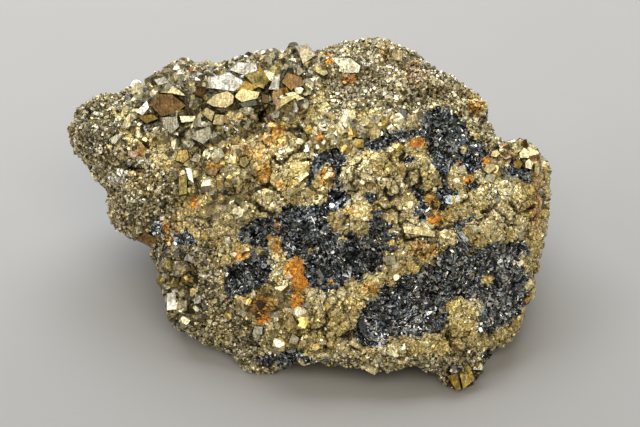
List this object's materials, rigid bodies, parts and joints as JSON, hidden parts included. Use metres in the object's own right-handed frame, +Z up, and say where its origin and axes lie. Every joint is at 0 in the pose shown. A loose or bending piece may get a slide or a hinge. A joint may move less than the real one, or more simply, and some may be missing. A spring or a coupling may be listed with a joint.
{
  "type": "hematite and pyrite ore specimen",
  "caption": "Loose hand specimen of pyrite and hematite ore, crystals on its upper left, resting on a flat broken base.",
  "frame": {"origin": "middle of the bounding box in plan, on the plane that the flat broken base rests on", "axes": "+X along the specimen's length, from the granular lobe towards the blunt end; +Z up; the fresh broken front looks towards -Y and up"},
  "size_m": [0.121, 0.078, 0.0602],
  "materials": {
    "ore": "natural ore: brassy, granular metallic pyrite with bands of sparkling blue-black hematite and orange limonite stains"
  },
  "bodies": {
    "root": {"hematite_specimen": "ore"}
  },
  "joints": []
}
